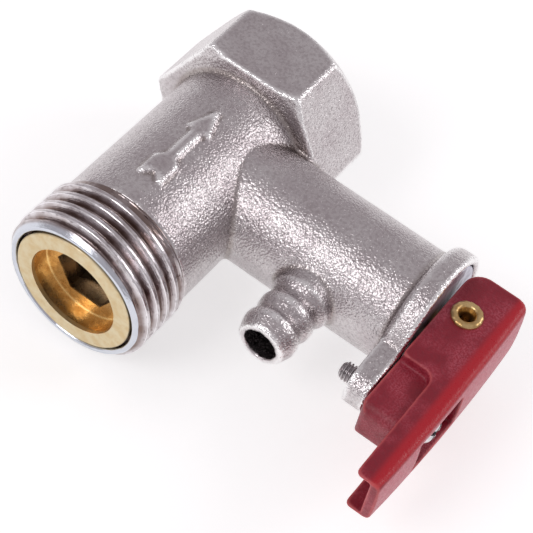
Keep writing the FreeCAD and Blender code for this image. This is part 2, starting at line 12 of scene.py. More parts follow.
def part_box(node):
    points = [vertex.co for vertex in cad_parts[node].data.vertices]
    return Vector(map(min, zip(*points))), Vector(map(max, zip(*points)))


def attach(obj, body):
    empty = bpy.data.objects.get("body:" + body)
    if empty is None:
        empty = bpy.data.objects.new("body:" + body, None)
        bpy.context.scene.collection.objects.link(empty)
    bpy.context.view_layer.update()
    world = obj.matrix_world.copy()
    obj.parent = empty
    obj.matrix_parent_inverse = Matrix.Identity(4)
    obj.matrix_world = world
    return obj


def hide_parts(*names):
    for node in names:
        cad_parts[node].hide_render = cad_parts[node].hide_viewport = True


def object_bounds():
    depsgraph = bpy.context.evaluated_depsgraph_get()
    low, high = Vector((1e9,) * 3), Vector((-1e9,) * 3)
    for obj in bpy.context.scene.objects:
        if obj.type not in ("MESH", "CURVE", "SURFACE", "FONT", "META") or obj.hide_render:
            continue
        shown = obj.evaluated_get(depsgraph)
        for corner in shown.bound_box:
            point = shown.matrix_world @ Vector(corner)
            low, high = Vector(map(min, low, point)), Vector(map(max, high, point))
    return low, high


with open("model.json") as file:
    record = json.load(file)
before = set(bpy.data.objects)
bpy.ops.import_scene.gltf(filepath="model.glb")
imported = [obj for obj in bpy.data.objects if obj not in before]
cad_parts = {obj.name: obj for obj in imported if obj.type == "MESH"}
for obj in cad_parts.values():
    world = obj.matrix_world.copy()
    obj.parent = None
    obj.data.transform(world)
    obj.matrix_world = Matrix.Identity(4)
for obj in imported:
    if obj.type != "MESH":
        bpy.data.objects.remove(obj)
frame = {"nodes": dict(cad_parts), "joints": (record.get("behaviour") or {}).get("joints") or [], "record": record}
CAD_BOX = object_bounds()

# Shapes are worked out in millimetres and scaled to metres as they are placed.
MM = 0.001
MOUNTS = {m["name"]: m for m in frame["record"]["mounts"]}
JOINTS = {j["name"]: j for j in frame["joints"]}
BODY_LOW, BODY_HIGH = (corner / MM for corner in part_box("valve_body"))
SCREW_LOW, SCREW_HIGH = (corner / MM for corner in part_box("lock_screw"))
LEVER_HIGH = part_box("lever")[1] / MM
RIVET_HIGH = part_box("lever_rivet")[1] / MM
DISC_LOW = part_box("bonnet_disc")[0] / MM
PIVOT = Vector(JOINTS["lever_pivot"]["pos_m"]) / MM
BRANCH_Y = PIVOT.y
INLET_Y = BODY_LOW.y
MOUTH_Y = BODY_HIGH.y
SCREW_Y = (SCREW_LOW.y + SCREW_HIGH.y) / 2
SPOUT_X = MOUNTS["drain_barb"]["pos_m"][0] / MM
SPOUT_BORE_R = MOUNTS["drain_bore"]["dims"]["r_mm"]
THREAD_R = MOUNTS["inlet_thread"]["dims"]["r_mm"]
SOCKET_R = MOUNTS["outlet_socket"]["dims"]["r_mm"]
SOCKET_DEPTH = MOUNTS["outlet_socket"]["dims"]["length_mm"]

# G 1/2 pipe thread, at the inlet and in the outlet's socket
PITCH = 1.814
THREAD_DEPTH = THREAD_R - SOCKET_R

# The tee's outer radii, and the recess in the branch's flange that holds the disc
RUN_R = 9.87
BRANCH_R = 7.95
RECESS_R = 8.5

# The inlet's thread is a piece of its own up to CUT_Y, and the branch's bore starts at BORE_START_X
CUT_Y = INLET_Y + 9.0
BORE_START_X = RUN_R - 3.0

# Radius of the retainer's open mouth
RETAINER_MOUTH_R = 6.3

# Half the width of the raised flow arrow
ARROW_HALF = 1.65

# The lever's edge band, painted a purer and brighter red for how light falls on it, lies further than this from
# its middle plane
LEVER_BAND_Z = 3.2

# Size of the squares in the casting's and the lever's finer meshes
CAST_VOXEL = 0.28
LEVER_VOXEL = 0.15

# Share of the casting's triangles that is kept when its hidden bores are thinned
CAST_KEPT = 0.80


# ---------------------------------------------------------------- mesh helpers

# Large primes that scatter the cells of the noise
CELL_PRIMES = (73856093, 19349663, 83492791)
SEED_PRIME = 7919
STIR_PRIME = 1274126177

# A point this many millimetres below its neighbours starts to count as an inner corner, and counts fully
HOLLOW_START = 0.004
HOLLOW_FULL = 0.02


def lattice(cells, seed):
    """Repeatable random numbers from -1 to 1, one for each whole-number cell."""
    mixed = seed * SEED_PRIME
    for axis, prime in enumerate(CELL_PRIMES):
        mixed = mixed ^ (cells[:, axis] * prime)
    mixed = (mixed ^ (mixed >> 13)) * STIR_PRIME
    return ((mixed >> 9) & 0xFFFF) / 0x7FFF - 1.0


def noise(points, size, seed):
    """Smooth noise from -1 to 1 whose lumps are about `size` across."""
    scaled = points / size
    base = np.floor(scaled).astype(np.int64)
    part = scaled - base
    part = part * part * (3 - 2 * part)
    total = np.zeros(len(points))
    for corner in np.ndindex(2, 2, 2):
        offset = np.array(corner)
        weight = np.prod(np.where(offset == 1, part, 1 - part), axis=1)
        total += weight * lattice(base + offset, seed)
    return total


def ease(low, high, values):
    """0 below low, 1 above high, and a smooth step between them."""
    t = np.clip((values - low) / (high - low), 0, 1)
    return t * t * (3 - 2 * t)


def read_points(mesh):
    points = np.zeros(len(mesh.vertices) * 3)
    mesh.vertices.foreach_get("co", points)
    return points.reshape(-1, 3)


def read_normals(mesh):
    normals = np.zeros(len(mesh.vertices) * 3)
    mesh.vertices.foreach_get("normal", normals)
    return normals.reshape(-1, 3)


def write_points(mesh, points):
    mesh.vertices.foreach_set("co", points.ravel())
    mesh.update()


def add_attribute(mesh, name, values):
    attribute = mesh.attributes.new(name, "FLOAT", "POINT")
    attribute.data.foreach_set("value", values.astype(np.float32))


class Neighbours:
    """Averages over each point's neighbours in a mesh."""

    def __init__(self, mesh):
        ends = np.zeros(len(mesh.edges) * 2, np.int32)
        mesh.edges.foreach_get("vertices", ends)
        ends = ends.reshape(-1, 2)
        self.a = np.concatenate([ends[:, 0], ends[:, 1]])
        self.b = np.concatenate([ends[:, 1], ends[:, 0]])
        self.n = len(mesh.vertices)
        self.count = np.maximum(np.bincount(self.a, minlength=self.n), 1)

    def mean(self, values):
        if values.ndim == 1:
            return np.bincount(self.a, weights=values[self.b], minlength=self.n) / self.count
        columns = [self.mean(values[:, k]) for k in range(values.shape[1])]
        return np.stack(columns, axis=1)


def smooth(mesh, rounds, weight=1.0, hollows_only=False):
    """Moves points towards their neighbours; with hollows_only it just fills inner corners."""
    near = Neighbours(mesh)
    points = read_points(mesh)
    weight = np.broadcast_to(weight, len(points))
    for _ in range(rounds):
        step = near.mean(points) - points
        share = 0.5 * weight
        if hollows_only:
            write_points(mesh, points)
            rise = np.einsum("ij,ij->i", step, read_normals(mesh))
            share = share * ease(HOLLOW_START, HOLLOW_FULL, rise)
        points = points + step * share[:, None]
    write_points(mesh, points)


def bend_of(mesh):
    """How far each point stands out from its neighbours: positive on edges, negative in hollows."""
    near = Neighbours(mesh)
    points = read_points(mesh)
    step = near.mean(points) - points
    return near.mean(-np.einsum("ij,ij->i", step, read_normals(mesh)))


def new_mesh(name, points, faces):
    """A mesh from an array of points and a list of faces."""
    mesh = bpy.data.meshes.new(name)
    mesh.from_pydata([tuple(p) for p in points], [], faces)
    mesh.validate()
    return mesh


def copy_of(node, cut_at=None, cut_normal=None):
    """A node's mesh in millimetres as one closed skin, cut off before a plane if one is given."""
    mesh = frame["nodes"][node].data.copy()
    mesh.transform(Matrix.Scale(1 / MM, 4))
    work = bmesh.new()
    work.from_mesh(mesh)
    bmesh.ops.remove_doubles(work, verts=work.verts, dist=1e-4)
    if cut_at is not None:
        parts = work.verts[:] + work.edges[:] + work.faces[:]
        bmesh.ops.bisect_plane(work, geom=parts, plane_co=cut_at, plane_no=cut_normal,
                               clear_inner=True, dist=1e-4)
        rim = [e for e in work.edges if e.is_boundary]
        bmesh.ops.triangle_fill(work, edges=rim, use_beauty=True)
    work.to_mesh(mesh)
    work.free()
    if "custom_normal" in mesh.attributes:
        mesh.attributes.remove(mesh.attributes["custom_normal"])
    mesh.materials.clear()
    return mesh


def modified(mesh, kind, settings, group=None):
    """A mesh after one modifier, which may act only on a group of its points."""
    holder = bpy.data.objects.new("holder", mesh)
    bpy.context.scene.collection.objects.link(holder)
    modifier = holder.modifiers.new(kind, kind)
    for name, value in settings.items():
        setattr(modifier, name, value)
    if group is not None:
        holder.vertex_groups.new(name="group").add(np.flatnonzero(group).tolist(), 1.0, "REPLACE")
        modifier.vertex_group = "group"
    graph = bpy.context.evaluated_depsgraph_get()
    made = bpy.data.meshes.new_from_object(holder.evaluated_get(graph))
    bpy.data.objects.remove(holder)
    return made


def even_skin(mesh, size):
    """The same closed shape in even squares of about `size`."""
    return modified(mesh, "REMESH", {"mode": "VOXEL", "voxel_size": size})


def place(name, mesh, body, slot, replaced, materials, sharp_angle=None):
    """Scales a finished mesh to metres and makes it a piece that stands for CAD nodes."""
    mesh.transform(Matrix.Scale(MM, 4))
    mesh.name = name
    for material in materials:
        mesh.materials.append(material)
    mesh.polygons.foreach_set("use_smooth", [True] * len(mesh.polygons))
    if sharp_angle is not None:
        mesh.set_sharp_from_angle(angle=math.radians(sharp_angle))
    piece = bpy.data.objects.new(name, mesh)
    bpy.context.scene.collection.objects.link(piece)
    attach(piece, body)
    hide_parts(replaced)
    return piece


def grid_faces(rows, columns, wrap_rows):
    """Quads over a grid whose columns close round an axis; rows close too if wrap_rows."""
    faces = []
    for i in range(rows if wrap_rows else rows - 1):
        for j in range(columns):
            a = i * columns + j
            b = i * columns + (j + 1) % columns
            c = ((i + 1) % rows) * columns
            faces.append((a, b, c + (j + 1) % columns, c + j))
    return faces


# ---------------------------------------------------------------- materials

class Shader:
    """A material's nodes. Positions reach them in millimetres of the part's own frame."""

    def __init__(self, name):
        self.material = bpy.data.materials.new(name)
        self.material.use_nodes = True
        self.tree = self.material.node_tree
        self.surface = self.tree.nodes["Principled BSDF"]
        where = self.tree.nodes.new("ShaderNodeTexCoord")
        self.place = self.vector("MULTIPLY", where.outputs["Object"], (1 / MM, 1 / MM, 1 / MM))

    def put(self, socket, value):
        """Links a socket to another node's output, or sets it to a plain value or an RGB colour."""
        if isinstance(value, bpy.types.NodeSocket):
            self.tree.links.new(value, socket)
        elif isinstance(value, tuple) and len(value) == 3 and socket.type == "RGBA":
            socket.default_value = (*value, 1.0)
        else:
            socket.default_value = value

    def set(self, **values):
        """Sets the surface's inputs, named with underscores for their spaces."""
        for name, value in values.items():
            self.put(self.surface.inputs[name.replace("_", " ")], value)

    def vector(self, operation, a, b):
        node = self.tree.nodes.new("ShaderNodeVectorMath")
        node.operation = operation
        self.put(node.inputs[0], a)
        self.put(node.inputs[1], b)
        return node.outputs["Vector"]

    def math(self, operation, a, b=0.0):
        node = self.tree.nodes.new("ShaderNodeMath")
        node.operation = operation
        self.put(node.inputs[0], a)
        self.put(node.inputs[1], b)
        return node.outputs[0]

    def noise(self, size, detail=2.0, roughness=0.5, stretch=(1.0, 1.0, 1.0), place=None):
        """Noise with features about `size` millimetres across."""
        node = self.tree.nodes.new("ShaderNodeTexNoise")
        scaled = self.vector("MULTIPLY", place or self.place, stretch)
        self.put(node.inputs["Vector"], scaled)
        self.put(node.inputs["Scale"], 1.0 / size)
        self.put(node.inputs["Detail"], detail)
        self.put(node.inputs["Roughness"], roughness)
        return node.outputs["Fac"]

    def cells(self, size):
        """Distance from the middle of the nearest of cells about `size` millimetres across."""
        node = self.tree.nodes.new("ShaderNodeTexVoronoi")
        self.put(node.inputs["Vector"], self.place)
        self.put(node.inputs["Scale"], 1.0 / size)
        return node.outputs["Distance"]

    def axes(self):
        node = self.tree.nodes.new("ShaderNodeSeparateXYZ")
        self.put(node.inputs[0], self.place)
        return node.outputs["X"], node.outputs["Y"], node.outputs["Z"]

    def joined(self, x, y, z):
        node = self.tree.nodes.new("ShaderNodeCombineXYZ")
        for socket, value in zip(node.inputs, (x, y, z)):
            self.put(socket, value)
        return node.outputs[0]

    def radius(self, a, b):
        """Distance from an axis, from the two coordinates across it."""
        squares = self.math("ADD", self.math("MULTIPLY", a, a), self.math("MULTIPLY", b, b))
        return self.math("SQRT", squares)

    def span(self, value, low, high, out_low=0.0, out_high=1.0):
        """A smooth step from out_low to out_high while the value goes from low to high."""
        node = self.tree.nodes.new("ShaderNodeMapRange")
        node.interpolation_type = "SMOOTHSTEP"
        self.put(node.inputs["Value"], value)
        self.put(node.inputs["From Min"], low)
        self.put(node.inputs["From Max"], high)
        self.put(node.inputs["To Min"], out_low)
        self.put(node.inputs["To Max"], out_high)
        return node.outputs["Result"]

    def mix(self, factor, a, b):
        node = self.tree.nodes.new("ShaderNodeMix")
        node.data_type = "RGBA"
        self.put(node.inputs["Factor"], factor)
        self.put(node.inputs["A"], a)
        self.put(node.inputs["B"], b)
        return node.outputs["Result"]

    def attribute(self, name):
        node = self.tree.nodes.new("ShaderNodeAttribute")
        node.attribute_name = name
        return node.outputs["Fac"]

    def bump(self, height, depth, normal=None):
        """Bump whose height of 0 to 1 stands for a depth in millimetres, over another bump's normal."""
        node = self.tree.nodes.new("ShaderNodeBump")
        self.put(node.inputs["Height"], height)
        self.put(node.inputs["Strength"], 1.0)
        self.put(node.inputs["Distance"], depth * MM)
        if normal is not None:
            self.put(node.inputs["Normal"], normal)
        return node.outputs["Normal"]


def cast_nickel():
    """Tumbled nickel plate over cast brass: grainy, with a painted highlight on its edges, partly wear, and
    painted shade in its hollows.
    """
    s = Shader("cast_nickel")
    dull = (0.57, 0.525, 0.535)
    bright = (0.65, 0.615, 0.62)
    shade = (0.34, 0.29, 0.30)
    hollow_shade = (0.16, 0.11, 0.08)
    polish_and_highlight = (0.98, 0.97, 0.97)
    coarse = s.noise(0.27, detail=1.0, roughness=0.5)
    grain = s.noise(0.15, detail=1.0)
    pits = s.cells(0.36)
    height = s.math("ADD", coarse, s.math("MULTIPLY", grain, 0.35))
    height = s.math("ADD", height, s.math("MULTIPLY", pits, 0.45))
    skin = s.attribute("skin")
    normal = s.bump(s.math("MULTIPLY", height, skin), 0.10)
    blotch = s.noise(5.0, detail=3.0)
    fine = s.noise(0.4, detail=2.0)
    colour = s.mix(s.span(blotch, 0.35, 0.65), dull, bright)
    colour = s.mix(s.span(fine, 0.58, 0.32, 0.0, 0.4), colour, shade)
    # Painted shade: the hollows and inner corners are darkened, where shade falls.
    colour = s.mix(s.math("MULTIPLY", s.attribute("hollow"), 0.5), colour, hollow_shade)
    # Painted highlight: the ridges are lightened towards white, partly wear and partly light shining on them.
    colour = s.mix(s.math("MULTIPLY", s.attribute("wear_and_highlight"), 0.9), colour, polish_and_highlight)
    rough = s.span(fine, 0.3, 0.7, 0.18, 0.28)
    s.set(Base_Color=colour, Metallic=1.0, Roughness=rough, Normal=normal)
    return s.material


def machined_nickel():
    """The inlet's plated thread and end face: grooves darkened with painted shade, plain crests, and a bright rim
    painted as a highlight.
    """
    s = Shader("machined_nickel")
    dull = (0.54, 0.49, 0.50)
    bright = (0.74, 0.71, 0.73)
    dark_groove_shade = (0.20, 0.14, 0.12)
    light_groove_shade = (0.38, 0.32, 0.32)
    nick_colour = (0.16, 0.12, 0.12)
    rim_highlight = (0.95, 0.94, 0.96)
    end_colour = (0.64, 0.68, 0.75)
    x, y, z = s.axes()
    r = s.radius(x, z)
    lines = s.noise(0.14, detail=2.0, place=s.joined(r, y, 0.0))
    nicks = s.noise(0.5, detail=3.0, stretch=(0.6, 2.4, 0.6))
    around = s.noise(2.2, detail=4.0, stretch=(1.0, 0.35, 1.0))
    normal = s.bump(lines, 0.022, normal=s.bump(nicks, 0.035))
    crest = s.span(r, RUN_R - 0.15, THREAD_R - 0.12)
    rim = s.span(s.math("ABSOLUTE", s.math("SUBTRACT", r, THREAD_R - 0.06)), 0.05, 0.015)
    end = s.span(y, INLET_Y + 0.75, INLET_Y + 0.3)
    crest_and_end = s.math("MAXIMUM", crest, end)
    tone = s.mix(s.span(around, 0.35, 0.65), dull, bright)
    # Painted shade: the grooves, away from the crests and the end, are darkened where shade falls.
    groove_shade = s.mix(s.span(around, 0.3, 0.7), dark_groove_shade, light_groove_shade)
    colour = s.mix(crest_and_end, groove_shade, tone)
    colour = s.mix(s.span(nicks, 0.56, 0.68, 0.0, 0.5), colour, nick_colour)
    # Painted highlight: a near-white line along the rim just inside the thread's outer radius.
    colour = s.mix(s.math("MULTIPLY", rim, 0.7), colour, rim_highlight)
    colour = s.mix(s.math("MULTIPLY", end, 0.85), colour, end_colour)
    rough = s.span(around, 0.3, 0.7, 0.12, 0.24)
    s.set(Base_Color=colour, Metallic=1.0, Roughness=rough, Normal=normal)
    return s.material


def turned_brass(name, colour_a, colour_b, rough, across):
    """Bare machined brass. `across` names the two coordinates across the turning axis."""
    s = Shader(name)
    speck_colour = (0.30, 0.17, 0.05)
    axes = dict(zip("xyz", s.axes()))
    first = axes[across[0]]
    second = axes[across[1]]
    if "x" not in across:
        first = s.math("SUBTRACT", first, BRANCH_Y)
    along = axes[({"x", "y", "z"} - set(across)).pop()]
    lines = s.noise(0.1, detail=2.0, place=s.joined(s.radius(first, second), along, 0.0))
    tarnish = s.noise(1.6, detail=4.0, roughness=0.6)
    speck = s.noise(0.18, detail=1.0)
    colour = s.mix(s.span(tarnish, 0.35, 0.68), colour_a, colour_b)
    colour = s.mix(s.span(speck, 0.66, 0.80, 0.0, 0.35), colour, speck_colour)
    roughness = s.span(tarnish, 0.3, 0.7, rough, rough + 0.12)
    s.set(Base_Color=colour, Metallic=1.0, Roughness=roughness, Normal=s.bump(lines, 0.008))
    return s.material


def retainer_brass():
    """The retainer: pale matte face, golden floor with a painted highlight on its edge, and painted shade in the
    hexagon hole.
    """
    s = Shader("retainer_brass")
    golden = (0.86, 0.62, 0.32)
    brown = (0.62, 0.38, 0.15)
    speck_colour = (0.26, 0.14, 0.05)
    pale_light = (0.70, 0.60, 0.40)
    pale_dark = (0.66, 0.52, 0.30)
    hole_shade = (0.30, 0.20, 0.11)
    edge_highlight = (0.98, 0.80, 0.50)
    x, y, z = s.axes()
    r = s.radius(x, z)
    lines = s.noise(0.1, detail=2.0, place=s.joined(r, y, 0.0))
    tarnish = s.noise(1.4, detail=4.0, roughness=0.6)
    speck = s.noise(0.22, detail=1.0)
    face = s.span(y, INLET_Y + 0.6, INLET_Y + 0.45)
    hole = s.span(y, INLET_Y + 2.95, INLET_Y + 3.1)
    edge = s.span(s.math("ABSOLUTE", s.math("SUBTRACT", r, RETAINER_MOUTH_R)), 0.22, 0.06)
    edge = s.math("MULTIPLY", edge, s.span(y, INLET_Y + 2.6, INLET_Y + 2.75))
    colour = s.mix(s.span(tarnish, 0.35, 0.68), golden, brown)
    colour = s.mix(s.span(speck, 0.60, 0.76, 0.0, 0.5), colour, speck_colour)
    pale = s.mix(s.span(tarnish, 0.35, 0.65), pale_light, pale_dark)
    colour = s.mix(face, colour, pale)
    # Painted shade: the hexagon hole deep in the bore is darkened.
    colour = s.mix(hole, colour, hole_shade)
    # Painted highlight: a bright line along the floor's edge at the mouth.
    colour = s.mix(s.math("MULTIPLY", edge, 0.8), colour, edge_highlight)
    rough = s.math("ADD", s.span(tarnish, 0.3, 0.7, 0.20, 0.34), s.math("MULTIPLY", face, 0.14))
    s.set(Base_Color=colour, Metallic=1.0, Roughness=rough, Normal=s.bump(lines, 0.010))
    return s.material


def red_moulding():
    """Moulded red plastic: burgundy with a fine pale painted sheen, a purer, brighter red painted along the sides'
    outer edge for how light falls there, a painted reflection on the outer face and a painted highlight on the
    edges.
    """
    s = Shader("red_moulding")
    burgundy = (0.235, 0.004, 0.018)
    lighter_burgundy = (0.285, 0.006, 0.023)
    mottle_colour = (0.18, 0.006, 0.020)
    sheen_colour = (0.47, 0.085, 0.12)
    outer_reflection = (0.56, 0.13, 0.17)
    band_lit_red = (0.47, 0.006, 0.017)
    edge_highlight_red = (0.70, 0.13, 0.13)
    grain = s.noise(0.22, detail=2.0, roughness=0.6)
    mottle = s.noise(0.45, detail=3.0, roughness=0.6)
    cloud = s.noise(4.0, detail=2.0)
    colour = s.mix(s.span(cloud, 0.35, 0.65), burgundy, lighter_burgundy)
    colour = s.mix(s.span(mottle, 0.45, 0.62, 0.0, 0.35), colour, mottle_colour)
    # Painted sheen: a pale pink gloss of light over the flat faces, kept off the edge band.
    sheen = s.math("MULTIPLY", s.span(cloud, 0.38, 0.66), s.span(grain, 0.42, 0.60, 0.10, 0.90))
    band = s.attribute("band")
    sheen = s.math("MULTIPLY", sheen, s.math("SUBTRACT", 1.0, band))
    colour = s.mix(s.math("MULTIPLY", sheen, 0.65), colour, sheen_colour)
    # Painted reflection: the outer face is lightened pink-grey, for the white floor it mirrors at a grazing angle.
    outer = s.math("MULTIPLY", s.attribute("outer"), s.span(grain, 0.38, 0.62, 0.55, 0.95))
    colour = s.mix(outer, colour, outer_reflection)
    # Painted light: the band along the sides' outer edge is a purer, brighter red for how light falls on it.
    colour = s.mix(s.math("MULTIPLY", band, 0.9), colour, band_lit_red)
    # Painted highlight: the lever's edges are lightened red, partly wear.
    colour = s.mix(s.math("MULTIPLY", s.attribute("wear_and_highlight"), 0.45), colour, edge_highlight_red)
    normal = s.bump(grain, 0.05, normal=s.bump(mottle, 0.06))
    rough = s.math("SUBTRACT", s.span(mottle, 0.3, 0.7, 0.34, 0.50), s.math("MULTIPLY", band, 0.08))
    s.set(Base_Color=colour, Roughness=rough, Normal=normal, Specular_IOR_Level=0.5)
    return s.material


def plated_steel(name, colour, rough):
    """Zinc-plated steel: bright, with faint clouds and scratches."""
    s = Shader(name)
    cloud = s.noise(1.2, detail=4.0, roughness=0.6)
    scratch = s.noise(0.12, detail=2.0, stretch=(0.3, 1.0, 1.0))
    darker = tuple(c * 0.72 for c in colour)
    clouded = s.mix(s.span(cloud, 0.35, 0.68), colour, darker)
    roughness = s.span(cloud, 0.3, 0.7, rough, rough + 0.15)
    s.set(Base_Color=clouded, Metallic=1.0, Roughness=roughness, Normal=s.bump(scratch, 0.006))
    return s.material


def moulded(name, colour, rough, grain_size):
    """Rubber and engineering plastic of the inner pieces."""
    s = Shader(name)
    grain = s.noise(grain_size, detail=3.0)
    lighter = tuple(min(1.0, c * 1.6 + 0.01) for c in colour)
    grained = s.mix(s.span(grain, 0.3, 0.7), colour, lighter)
    roughness = s.span(grain, 0.3, 0.7, rough, rough + 0.12)
    s.set(Base_Color=grained, Roughness=roughness, Normal=s.bump(grain, 0.02))
    return s.material


CAST_NICKEL = cast_nickel()
MACHINED_NICKEL = machined_nickel()
RETAINER_BRASS = retainer_brass()
BRANCH_BRASS = turned_brass("branch_brass", (0.78, 0.57, 0.25), (0.66, 0.44, 0.16), 0.24, "yz")
RIVET_BRASS = turned_brass("rivet_brass", (0.72, 0.52, 0.25), (0.50, 0.32, 0.13), 0.26, "xy")
RED_MOULDING = red_moulding()
SCREW_STEEL = plated_steel("screw_steel", (0.74, 0.74, 0.76), 0.16)
# The shank's steel is the head's zinc plate made darker: painted shade on the threaded shank.
SCREW_THREAD_SHADED_STEEL = plated_steel("screw_thread_shaded_steel", (0.50, 0.47, 0.48), 0.18)
DISC_STEEL = plated_steel("disc_steel", (0.56, 0.55, 0.64), 0.30)
SPRING_STEEL = plated_steel("spring_steel", (0.62, 0.62, 0.62), 0.22)
RUBBER = moulded("rubber_black", (0.018, 0.018, 0.018), 0.55, 0.3)
ACETAL = moulded("acetal_dark", (0.10, 0.085, 0.07), 0.38, 0.5)


# ---------------------------------------------------------------- valve body

def thread_shape(turns):
    """Thread depth from 0 on a crest to 1 in a groove, with crests flattened by wear and rounded grooves."""
    flank_middle = 0.56
    flank_width = 0.62
    sharpness = 30.0
    from_crest = np.abs((turns + 0.5) % 1.0 - 0.5) * 2
    flank = (from_crest - flank_middle) / flank_width + 0.5
    high = np.logaddexp(0, sharpness * flank)
    low = np.logaddexp(0, sharpness * (flank - 1))
    return (high - low) / sharpness


def hidden_or_machined(points):
    """Which of the body's points lie in its bores, recess or socket, or at a machined end."""
    under_skin = 0.3
    under_branch_skin = 0.5
    spout_lip = 0.35
    end_margin = 0.2
    cut_ring = 0.5
    x, y, z = points.T
    run = np.hypot(x, z)
    branch = np.hypot(y - BRANCH_Y, z)
    spout = np.hypot(x - SPOUT_X, z)
    inside = (run < RUN_R - under_skin) & (x < RUN_R)
    inside |= (branch < BRANCH_R - under_branch_skin) & (x > BORE_START_X)
    inside |= (spout < SPOUT_BORE_R + spout_lip) & (y < BRANCH_Y)
    inside |= (branch < RECESS_R + under_skin) & (x > DISC_LOW.x - end_margin)
    inside |= y > MOUTH_Y - end_margin
    inside |= (y < CUT_Y + end_margin) & (run < RUN_R + cut_ring)
    return inside


def casting():
    """The casting from the thread's inner end to the outlet, with filled corners and a cast skin."""
    arrow_margin = 0.6
    thinned_depth = 1.0
    wear_and_highlight_from = 0.006
    hollow_from = 0.004
    full_bend = 0.018
    lumps = ((0.007, 0.6, 1), (0.006, 1.4, 2), (0.03, 7.0, 3))  # height, size and seed
    parting_height = 0.07
    parting_half = 0.22
    parting_drift = 0.15
    parting_end_y = MOUTH_Y - 12
    mesh = even_skin(copy_of("valve_body", (0, CUT_Y, 0), (0, 1, 0)), CAST_VOXEL)
    x, y, z = read_points(mesh).T
    bores = (np.hypot(x, z) < RUN_R - thinned_depth) & (x < RUN_R) & (y < -SOCKET_DEPTH - 0.5)
    bores |= (np.hypot(y - BRANCH_Y, z) < BRANCH_R - thinned_depth) & (x > BORE_START_X)
    mesh = modified(mesh, "DECIMATE", {"ratio": CAST_KEPT}, bores)
    skin = 1.0 - hidden_or_machined(read_points(mesh)).astype(float)
    x, y, z = read_points(mesh).T
    arrow = (z > RUN_R - arrow_margin) & (np.abs(x) < ARROW_HALF + arrow_margin) & (y < BRANCH_Y + 2)
    smooth(mesh, 6, skin * ~arrow, hollows_only=True)
    smooth(mesh, 1, skin * (1 - 0.7 * arrow))
    skin = Neighbours(mesh).mean(skin)
    points = read_points(mesh)
    normals = read_normals(mesh)
    bend = bend_of(mesh)
    height = sum(tall * noise(points, size, seed) for tall, size, seed in lumps)
    beside = np.abs(points[:, 2] + parting_drift * noise(points, 3.0, 4))
    parting = np.exp(-(beside / parting_half) ** 2) * (np.abs(normals[:, 2]) < 0.5)
    height = height + parting_height * parting * (points[:, 1] < parting_end_y)
    points = points + normals * (height * skin)[:, None]
    cut_socket_thread(points)
    keep_in_box(points)
    write_points(mesh, points)
    add_attribute(mesh, "skin", skin)
    # The ridge mask holds a painted highlight, partly wear, and the hollow mask holds painted shade.
    add_attribute(mesh, "wear_and_highlight", ease(wear_and_highlight_from, full_bend, bend) * skin)
    add_attribute(mesh, "hollow", ease(hollow_from, full_bend, -bend) * skin)
    place("valve_casting", mesh, "body", "plated_brass", "valve_body", [CAST_NICKEL])


def cut_socket_thread(points):
    """Cuts the outlet's inside thread into the socket's wall."""
    cut_depth = THREAD_DEPTH * 0.9
    wall_reach = 0.4
    x, y, z = points.T
    run = np.hypot(x, z)
    wall = (np.abs(run - SOCKET_R) < wall_reach) & (y > -SOCKET_DEPTH + 0.3) & (y < MOUTH_Y - 0.1)
    turns = y / PITCH - np.arctan2(z, x) / (2 * math.pi)
    fade = ease(-SOCKET_DEPTH, -SOCKET_DEPTH + PITCH, y)
    grown = run + cut_depth * (1 - thread_shape(turns)) * fade * wall
    stretch = grown / np.maximum(run, 1e-6)
    points[:, 0] *= stretch
    points[:, 2] *= stretch


def keep_in_box(points):
    """Holds a piece's points inside the CAD model's box."""
    for axis, (low, high) in enumerate(zip(*CAD_BOX)):
        points[:, axis] = np.clip(points[:, axis], low / MM, high / MM)


def inlet_thread():
    """The inlet's end: helical thread outside, and the stepped bore that holds the retainer."""
    around = 300
    step = 0.085
    groove = 1.0
    start_turn = 0.15
    chamfer = 1.05
    chamfer_slope = 0.9
    undercut = 0.15
    undercut_slope = 1.1
    runout = 2.4
    runout_end = 0.5
    passage_r = 7.2
    body_r = 7.62
    body_end = INLET_Y + 6.3
    head_r = 8.86
    head_end = INLET_Y + 2.0
    rim_r = 9.12
    rim_bevel = 0.12
    count = int(round((CUT_Y - INLET_Y) / step))
    angles = np.linspace(0, 2 * math.pi, around, endpoint=False)
    root = THREAD_R - groove
    rows = []
    for i in range(count + 1):
        y = INLET_Y + (CUT_Y - INLET_Y) * i / count
        from_end = y - INLET_Y
        to_cut = CUT_Y - y
        crest = min(THREAD_R, THREAD_R - chamfer + from_end * chamfer_slope)
        crest = min(crest, RUN_R + max(0.0, to_cut - undercut) * undercut_slope)
        deepest = root + (RUN_R - root) * float(ease(runout, runout_end, to_cut))
        turns = from_end / PITCH - angles / (2 * math.pi) + start_turn
        radius = THREAD_R - (THREAD_R - root) * thread_shape(turns)
        rows.append((y, np.clip(radius, deepest, crest) if crest > deepest else np.full(around, crest)))
    bore = [
        (CUT_Y, passage_r),
        (body_end, passage_r),
        (body_end, body_r),
        (head_end, body_r),
        (head_end, head_r),
        (INLET_Y + 0.3, head_r),
        (INLET_Y + 0.08, rim_r - rim_bevel),
        (INLET_Y, rim_r),
    ]
    for y, radius in bore:
        rows.append((y, np.full(around, radius)))
    rings = []
    for y, radius in rows:
        ring = np.stack([radius * np.cos(angles), np.full(around, y), radius * np.sin(angles)], axis=1)
        rings.append(ring)
    mesh = new_mesh("inlet_thread", np.concatenate(rings), grid_faces(len(rows), around, True))
    place("inlet_thread", mesh, "body", "plated_brass", "valve_body", [MACHINED_NICKEL], sharp_angle=50)


# ---------------------------------------------------------------- lever, rivet and lock screw

